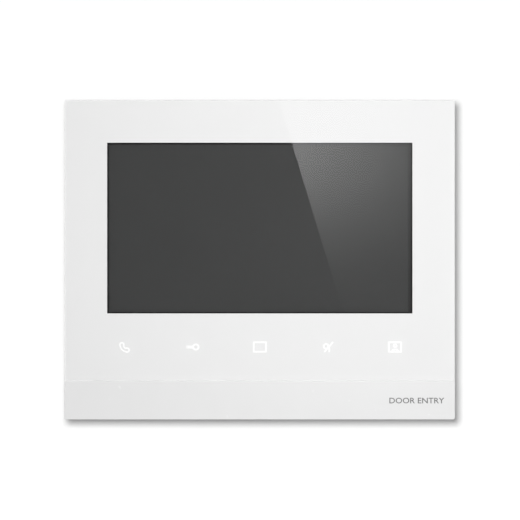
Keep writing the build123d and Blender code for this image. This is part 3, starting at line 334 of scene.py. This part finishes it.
# ------------------------------------------------------------------ electronics
def board_material():
    """Solder mask over copper: broad pours, fine tracks and rows of tinned vias."""
    g = Graph("solder_mask")
    squares = {"Vector": g.place, "Scale": 95.0, "Randomness": 0.9}
    areas = g.add("ShaderNodeTexVoronoi", squares, distance="CHEBYCHEV")
    pick = g.add("ShaderNodeSeparateColor", {0: areas.outputs["Color"]}).outputs[0]
    pour = g.math("GREATER_THAN", pick, 0.45)
    lying = g.add("ShaderNodeMapping", {"Vector": g.place, "Rotation": (math.pi / 2, 0, 0)}).outputs[0]
    rows = {"Vector": lying, "Scale": 260.0, "Mortar Size": 0.045}
    tracks = g.add("ShaderNodeTexBrick", rows, offset=0.37)
    tracks.inputs["Brick Width"].default_value = 1.6
    tracks.inputs["Row Height"].default_value = 0.32
    line = g.math("MULTIPLY", tracks.outputs["Fac"], g.math("SUBTRACT", 1.0, pour))
    dots = {"Vector": g.place, "Scale": 260.0, "Randomness": 0.55}
    via = g.add("ShaderNodeTexVoronoi", dots).outputs["Distance"]
    ring = g.span(via, 0.17, 0.15)
    hole = g.span(via, 0.085, 0.07)
    copper = g.math("MAXIMUM", pour, line)
    mask = g.mix(copper, rgb(0.006, 0.060, 0.022), rgb(0.012, 0.105, 0.040))
    tinned = g.mix(hole, rgb(0.55, 0.53, 0.48), rgb(0.01, 0.02, 0.01))
    base = g.mix(ring, mask, tinned)
    normal = g.bump(g.math("ADD", copper, ring), 0.35, 0.00003)
    metal = g.math("MULTIPLY", ring, 0.7)
    return g.finish(g.principled(Base_Color=base, Roughness=0.30, Metallic=metal, Normal=normal))


use(["main_board", "touch_board"], board_material())
use("processor_chip", moulded("chip_moulding", grey(0.022), rough=0.42, grain=2600.0, vary=0.15))
use(["display_connector", "touch_connector"], moulded("connector_ivory", rgb(0.72, 0.68, 0.55), rough=0.4))
use(["speaker_connector", "mic_connector"], moulded("connector_white", rgb(0.78, 0.76, 0.70), rough=0.4))
use("shield_can", sheet_metal("tinned_can", rgb(0.66, 0.66, 0.65), rough=0.25, spangle=300.0, lines=0.1))
can_finish = sheet_metal("drawn_can", rgb(0.72, 0.73, 0.74), rough=0.22, spangle=700.0, lines=0.1)
use(["capacitors", "mic_capsule"], can_finish)
use("inductors", moulded("ferrite_block", grey(0.05), rough=0.7, grain=1200.0, depth=0.0001, vary=0.2))
use("icon_leds", moulded("lamp_resin", rgb(0.85, 0.80, 0.52), rough=0.2, coat=0.5))
use("icon_light_guide", moulded("milky_guide", grey(0.82), rough=0.35, grain=700.0, depth=0.00001))
use("backlight_unit", moulded("backlight_moulding", grey(0.62), rough=0.5))
use("lcd_bezel", sheet_metal("display_bezel", rgb(0.34, 0.35, 0.36), rough=0.4, spangle=400.0))
clamp_finish = sheet_metal("clamp_steel", rgb(0.60, 0.61, 0.62), rough=0.4, stretch=ROLLED, spangle=160.0)
use("display_clamp", clamp_finish)
use("lcd_flex", moulded("amber_flex", rgb(0.40, 0.19, 0.035), rough=0.25, vary=0.15))
use("touch_ribbon", moulded("white_ribbon", grey(0.70), rough=0.4))
foam_finish = moulded("black_foam", grey(0.018), rough=0.95, grain=1400.0, depth=0.0003, vary=0.3)
use(["display_gasket", "speaker_gasket"], foam_finish)
use("mic_boot", moulded("black_rubber", grey(0.02), rough=0.8, grain=1200.0, depth=0.00005, vary=0.2))
use("mic_cable", moulded("black_wire", grey(0.025), rough=0.45))
use("speaker_cable", moulded("red_wire", rgb(0.42, 0.03, 0.02), rough=0.4))
use("speaker_basket", sheet_metal("blackened_basket", rgb(0.10, 0.10, 0.11), rough=0.5, spangle=500.0))
use("speaker_cone", moulded("paper_cone", grey(0.03), rough=0.9, grain=700.0, depth=0.0002, vary=0.3))
use("speaker_magnet", sheet_metal("ferrite_magnet", rgb(0.13, 0.13, 0.14), rough=0.6, spangle=800.0))

# ------------------------------------------------------------------ wiring side
pushers = sorted(n for n in nodes if n.startswith("pusher_"))
sliders = sorted(n for n in nodes if n.startswith("dip_slider_"))
blocks = sorted(n for n in nodes if n.startswith("terminal_block_"))
use(blocks, moulded("terminal_green", rgb(0.035, 0.235, 0.085), rough=0.42, grain=1600.0, vary=0.08))
use(pushers, moulded("pusher_orange", rgb(0.78, 0.20, 0.02), rough=0.4, vary=0.06))
use("dip_housing", moulded("switch_red", rgb(0.36, 0.02, 0.016), rough=0.42, vary=0.08))
use(sliders, moulded("slider_white", grey(0.82), rough=0.35))
use("reset_switch", moulded("switch_black", grey(0.03), rough=0.4, vary=0.1))
use("reset_plunger", moulded("plunger_red", rgb(0.55, 0.05, 0.03), rough=0.35, vary=0.06))

# ------------------------------------------------------------------ small print on the lower strip
PRINT_W = 0.0278
PRINT_H = 0.0029
PRINT_T = 0.000008
PRINT_PLACE = (0.0794, -DEPTH - PRINT_T, -0.07155)

curve = bpy.data.curves.new("trim_print", "FONT")
curve.body = "DOOR ENTRY"
curve.size = 0.004
curve.offset = 0.00003
curve.align_x = "CENTER"
curve.align_y = "CENTER"
curve.extrude = PRINT_T
curve.resolution_u = 3
print_object = bpy.data.objects.new("trim_print", curve)
bpy.context.scene.collection.objects.link(print_object)
bpy.context.view_layer.update()
evaluated = print_object.evaluated_get(bpy.context.evaluated_depsgraph_get())
flat_mesh = bpy.data.meshes.new_from_object(evaluated)
wide = print_object.dimensions.x
tall = print_object.dimensions.y
bpy.data.objects.remove(print_object)
upright = Matrix.Rotation(math.pi / 2, 4, "X")
to_size = Matrix.Diagonal((PRINT_W / wide, PRINT_H / tall, 1, 1))
flat_mesh.transform(Matrix.Translation(PRINT_PLACE) @ upright @ to_size)
word = bpy.data.objects.new("trim_print_mark", flat_mesh)
bpy.context.scene.collection.objects.link(word)
word.data.materials.clear()
ink_finish = moulded("grey_ink", grey(0.135), rough=0.5, grain=3000.0, depth=0.000004, vary=0.1)
word.data.materials.append(ink_finish)
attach(word, "monitor")


# ------------------------------------------------------------------ stage
def plane(name, corners):
    mesh = bpy.data.meshes.new(name)
    mesh.from_pydata(corners, [], [(0, 1, 2, 3)])
    mesh.update()
    obj = bpy.data.objects.new(name, mesh)
    bpy.context.scene.collection.objects.link(obj)
    return obj


STAGE_R = 4
FLOOR_Z = -0.5
floor_corners = [(-STAGE_R, -STAGE_R), (STAGE_R, -STAGE_R), (STAGE_R, STAGE_R), (-STAGE_R, STAGE_R)]
floor = plane("floor", [(x, y, FLOOR_Z) for x, y in floor_corners])
g = Graph("pale_floor")
floor_tone = g.mix(g.span(g.noise(2.0, 1.0), 0.3, 0.7), grey(0.82), grey(0.835))
floor.data.materials.append(
    g.finish(
        g.principled(
            Base_Color=floor_tone,
            Roughness=0.8,
            Specular_IOR_Level=0.1,
            Emission_Color=grey(1.0),
            Emission_Strength=STAGE_GLOW,
        )
    )
)

# The wall is drawn from its front only, so that the back of the part can be looked at. Its paint evens out
# the fall-off of the lamp that throws the soft shadow. It lights nothing, and shows in no reflection.
LIGHT_X = -0.038
LIGHT_Z = 0.051
LIGHT_AWAY = 0.644
WALL_Y = 0.0004
WALL_TOP = 3
wall_corners = [(-STAGE_R, FLOOR_Z), (STAGE_R, FLOOR_Z), (STAGE_R, WALL_TOP), (-STAGE_R, WALL_TOP)]
wall = plane("wall", [(x, WALL_Y, z) for x, z in wall_corners])
g = Graph("white_wall")
x, _, z = g.xyz()
away_x = g.math("DIVIDE", g.math("SUBTRACT", x, LIGHT_X), LIGHT_AWAY)
away_z = g.math("DIVIDE", g.math("SUBTRACT", z, LIGHT_Z), LIGHT_AWAY)
square = g.math("ADD", g.math("MULTIPLY", away_x, away_x), g.math("MULTIPLY", away_z, away_z))
spread = g.math("ADD", 1.0, square)
even = g.math("MULTIPLY", 0.10, g.math("MULTIPLY", spread, spread), clamp=True)
painted = g.add("ShaderNodeBsdfDiffuse", {"Color": g.mix(even, grey(0.0), grey(1.0))}).outputs[0]
glow = g.add("ShaderNodeEmission", {"Color": grey(1.0), "Strength": STAGE_GLOW}).outputs[0]
front = g.add("ShaderNodeAddShader", {0: painted, 1: glow}).outputs[0]
behind = g.add("ShaderNodeBsdfTransparent").outputs[0]
rear_side = g.add("ShaderNodeNewGeometry").outputs["Backfacing"]
one_sided = g.add("ShaderNodeMixShader", {0: rear_side, 1: front, 2: behind}).outputs[0]
wall.data.materials.append(g.finish(one_sided))
INDIRECT = ["visible_diffuse", "visible_transmission", "visible_volume_scatter", "visible_shadow"]
for ray in INDIRECT + ["visible_glossy"]:
    setattr(wall, ray, False)

# A bright window-like card behind the camera, seen only in the glossy front.
CARD_BACK = 0.9
EYE = 0.7322
CARD_X = 0.12
CARD_Z = 0.10
card_corners = [(-CARD_X, -CARD_Z), (CARD_X, -CARD_Z), (CARD_X, CARD_Z), (-CARD_X, CARD_Z)]
card = plane("studio_card", [(x, 0, z) for x, z in card_corners])
card.scale = (1 + CARD_BACK / EYE, 1, 1 + CARD_BACK / EYE)
card.location = (0, -DEPTH - CARD_BACK, 0)
g = Graph("card_light")
x, _, z = g.xyz()
slant = g.math("ADD", x, g.math("MULTIPLY", g.math("SUBTRACT", z, 0.0594), 0.3055))
lit = g.span(slant, 0.0158, 0.0164)
below = g.math("SUBTRACT", 0.0558, z)
steeper = g.math("SUBTRACT", -8.74, g.math("MULTIPLY", below, 490.0))
fade_z = g.math("EXPONENT", g.math("MULTIPLY", below, steeper))
fade_x = g.math("SUBTRACT", 1.0, g.math("MULTIPLY", g.math("SUBTRACT", x, 0.0207), 12.3), clamp=True)
level = g.math("MULTIPLY", g.math("MULTIPLY", fade_z, fade_x), g.math("MULTIPLY", lit, 3.4))
card_glow = g.add("ShaderNodeEmission", {"Color": grey(1.0), "Strength": level}).outputs[0]
card.data.materials.append(g.finish(card_glow))
for ray in INDIRECT + ["visible_camera"]:
    setattr(card, ray, False)


# ------------------------------------------------------------------ light
def lamp(name, kind, energy, place, aim, size=0.5, angle=0.1):
    data = bpy.data.lights.new(name, kind)
    data.energy = energy
    if kind == "AREA":
        data.shape = "DISK"
        data.size = size
    if kind == "SUN":
        data.angle = angle
    obj = bpy.data.objects.new(name, data)
    bpy.context.scene.collection.objects.link(obj)
    obj.location = place
    obj.visible_camera = False
    obj.visible_glossy = kind == "SUN"
    obj.rotation_euler = (Vector(aim) - Vector(place)).to_track_quat("-Z", "Y").to_euler()
    return obj


def only_lights(lamp_object, receivers):
    """The lamp lights only these objects; everything still casts its shadow."""
    group = bpy.data.collections.new(lamp_object.name + "_receivers")
    for obj in receivers:
        group.objects.link(obj)
    lamp_object.light_linking.receiver_collection = group


wall_light_place = (LIGHT_X, -LIGHT_AWAY, LIGHT_Z)
wall_light_aim = (LIGHT_X, 0.0, LIGHT_Z)
wall_light = lamp("wall_light", "AREA", 30.4, wall_light_place, wall_light_aim, size=0.135)
only_lights(wall_light, [wall])
pieces = [o for o in bpy.context.scene.objects if o.type == "MESH" and o not in (wall, card)]
key = lamp("key", "AREA", 1.62, (0.075, -0.47, 0.055), (0.075, 0.0, 0.03), size=0.30)
only_lights(key, pieces)
edge_sun = lamp("edge_sun", "SUN", 0.55, (-1.0, -0.7, 1.0), (0, 0, 0), angle=math.radians(25))
only_lights(edge_sun, pieces)
rear = lamp("rear", "AREA", 4.0, (-0.7, 0.9, 0.7), (0, 0, 0), size=0.7)
only_lights(rear, pieces)

world = bpy.data.worlds.new("studio")
bpy.context.scene.world = world
world.use_nodes = True
background = world.node_tree.nodes["Background"]
background.inputs["Color"].default_value = (1.0, 1.0, 1.0, 1.0)
background.inputs["Strength"].default_value = 0.50
bpy.context.scene.view_settings.view_transform = "Standard"

# ------------------------------------------------------------------ camera
camera_data = bpy.data.cameras.new("camera")
camera_data.lens = 100.0
camera_data.sensor_width = 36.0
camera_data.dof.use_dof = False
camera = bpy.data.objects.new("camera", camera_data)
bpy.context.scene.collection.objects.link(camera)
camera.location = (0.0001, -DEPTH - EYE, -0.00013)
camera.rotation_euler = (math.pi / 2, 0, 0)
bpy.context.scene.camera = camera
